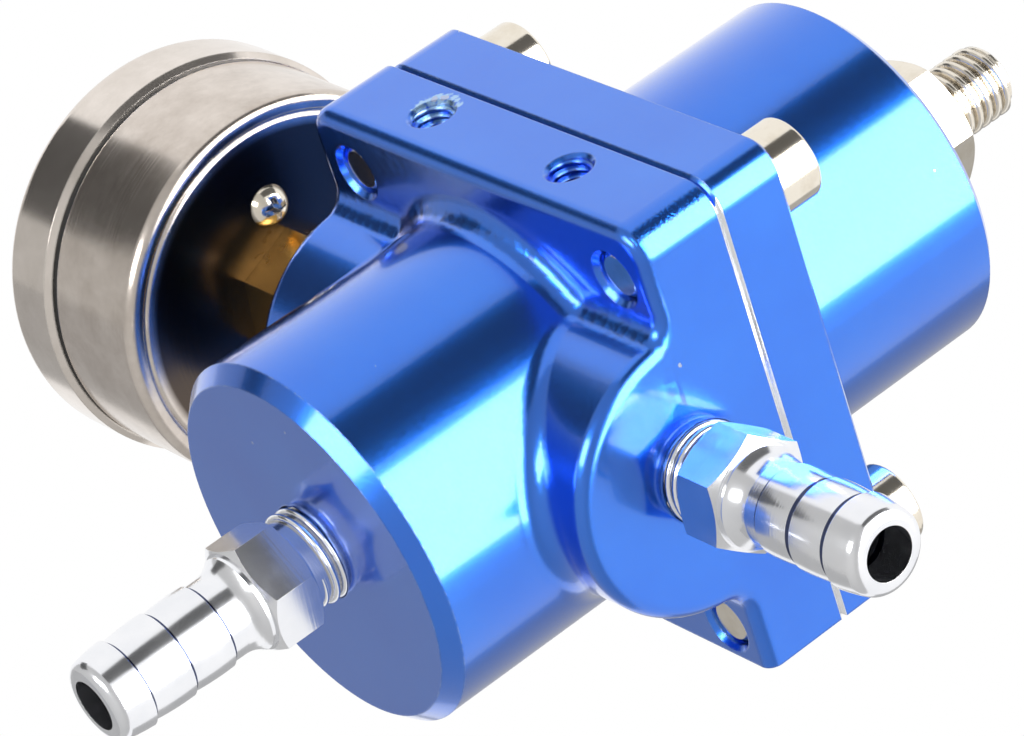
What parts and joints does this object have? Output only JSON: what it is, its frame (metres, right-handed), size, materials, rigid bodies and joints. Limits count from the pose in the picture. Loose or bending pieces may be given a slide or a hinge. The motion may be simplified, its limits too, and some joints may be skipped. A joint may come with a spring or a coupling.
{
  "type": "fuel pressure regulator",
  "caption": "Adjustable diaphragm fuel pressure regulator with a dial gauge, barbed hose tails, a vacuum nipple and a locked adjusting screw.",
  "frame": {"origin": "middle of the two tapped bracket holes, on the face that meets the bracket", "axes": "+Z along the main axis towards the adjusting screw, +X towards the inlet hose tail, -Y out of the bracket face, -X towards the dial gauge"},
  "size_m": [0.1091, 0.0492, 0.113],
  "materials": {
    "blue_anodised": "bright blue anodised casting",
    "clear_aluminium": "turned and polished",
    "nickel_steel": "bright nickel plate",
    "stainless": "brushed sheet with polished edges",
    "brass": "machined brass",
    "spring_steel": "oiled spring wire",
    "zinc_steel": "zinc plated pressing",
    "black_rubber": "matt rubber",
    "bronze_tube": "drawn bronze tube",
    "clear_window": "clear window",
    "dial_white": "white printed sheet",
    "pointer_black": "black lacquer"
  },
  "bodies": {
    "housing": {"lower_body": "blue_anodised", "bonnet": "blue_anodised", "bonnet_screws": "nickel_steel", "diaphragm": "black_rubber", "valve_seat": "brass", "main_spring": "spring_steel", "inlet_hose_tail": "clear_aluminium", "return_hose_tail": "clear_aluminium", "vacuum_nipple": "brass", "gauge_case": "stainless", "gauge_gasket": "black_rubber", "gauge_bezel": "stainless", "gauge_lens": "clear_window", "gauge_back_screws": "nickel_steel", "gauge_stem": "brass", "gauge_restrictor": "brass", "movement_back_plate": "brass", "movement_front_plate": "brass", "movement_pillars": "brass", "sector_pivot_pin": "nickel_steel", "hairspring": "bronze_tube", "gauge_dial": "dial_white", "dial_screws": "nickel_steel"},
    "valve": {"diaphragm_lower_plate": "zinc_steel", "diaphragm_spring_cup": "zinc_steel", "valve_stud": "brass", "valve_disc": "black_rubber"},
    "upper_spring_seat": {"spring_seat": "zinc_steel"},
    "adjuster": {"adjusting_screw": "nickel_steel"},
    "nut": {"lock_nut": "nickel_steel"},
    "pointer": {"pinion_arbor": "nickel_steel", "gauge_pointer": "pointer_black"},
    "sector": {"sector_gear": "brass"},
    "pressure_tube": {"bourdon_tube": "bronze_tube", "bourdon_tip": "brass"},
    "link": {"sector_link": "brass"}
  },
  "joints": [
    {"name": "valve_lift", "type": "slide", "parent": "housing", "child": "valve", "axis": [0, 0, 1], "range_m": [0, 0.0008], "stiffness_N_per_m": 9800, "springref_m": -0.001, "deforming": ["diaphragm"]},
    {"name": "pressure_adjust", "type": "slide", "parent": "housing", "child": "upper_spring_seat", "axis": [0, 0, -1], "range_m": [0, 0.005], "deforming": ["main_spring"]},
    {"name": "adjuster_turn", "type": "hinge", "parent": "upper_spring_seat", "child": "adjuster", "pos_m": [0.00065, 0.0252, 0.05466], "axis": [0, 0, -1], "range_deg": [0, 1440]},
    {"name": "lock_nut_turn", "type": "hinge", "parent": "housing", "child": "nut", "pos_m": [0.00065, 0.0252, 0.03936], "axis": [0, 0, 1], "range_deg": [0, 180]},
    {"name": "pointer_turn", "type": "hinge", "parent": "housing", "child": "pointer", "pos_m": [-0.05035, 0.0252, -0.00534], "axis": [1, 0, 0], "range_deg": [0, 270], "stiffness_Nm_per_rad": 0.0004, "springref_deg": -11.46},
    {"name": "sector_turn", "type": "hinge", "parent": "housing", "child": "sector", "pos_m": [-0.04685, 0.0162, -0.00534], "axis": [1, 0, 0], "range_deg": [-33.76, 0]},
    {"name": "tube_flex", "type": "hinge", "parent": "housing", "child": "pressure_tube", "pos_m": [-0.04305, 0.02969, -0.0186], "axis": [1, 0, 0], "range_deg": [-6.29, 0]},
    {"name": "link_turn", "type": "hinge", "parent": "pressure_tube", "child": "link", "pos_m": [-0.04775, 0.01319, -0.01273], "axis": [1, 0, 0], "range_deg": [0, 12.79]}
  ],
  "couplings": [
    {"joint": "pressure_adjust", "follows": "adjuster_turn", "m_per_rad": 0.00019894},
    {"joint": "sector_turn", "follows": "pointer_turn", "ratio": -0.125},
    {"joint": "tube_flex", "follows": "pointer_turn", "ratio": -0.023242},
    {"joint": "link_turn", "follows": "pointer_turn", "ratio": 0.047338}
  ]
}
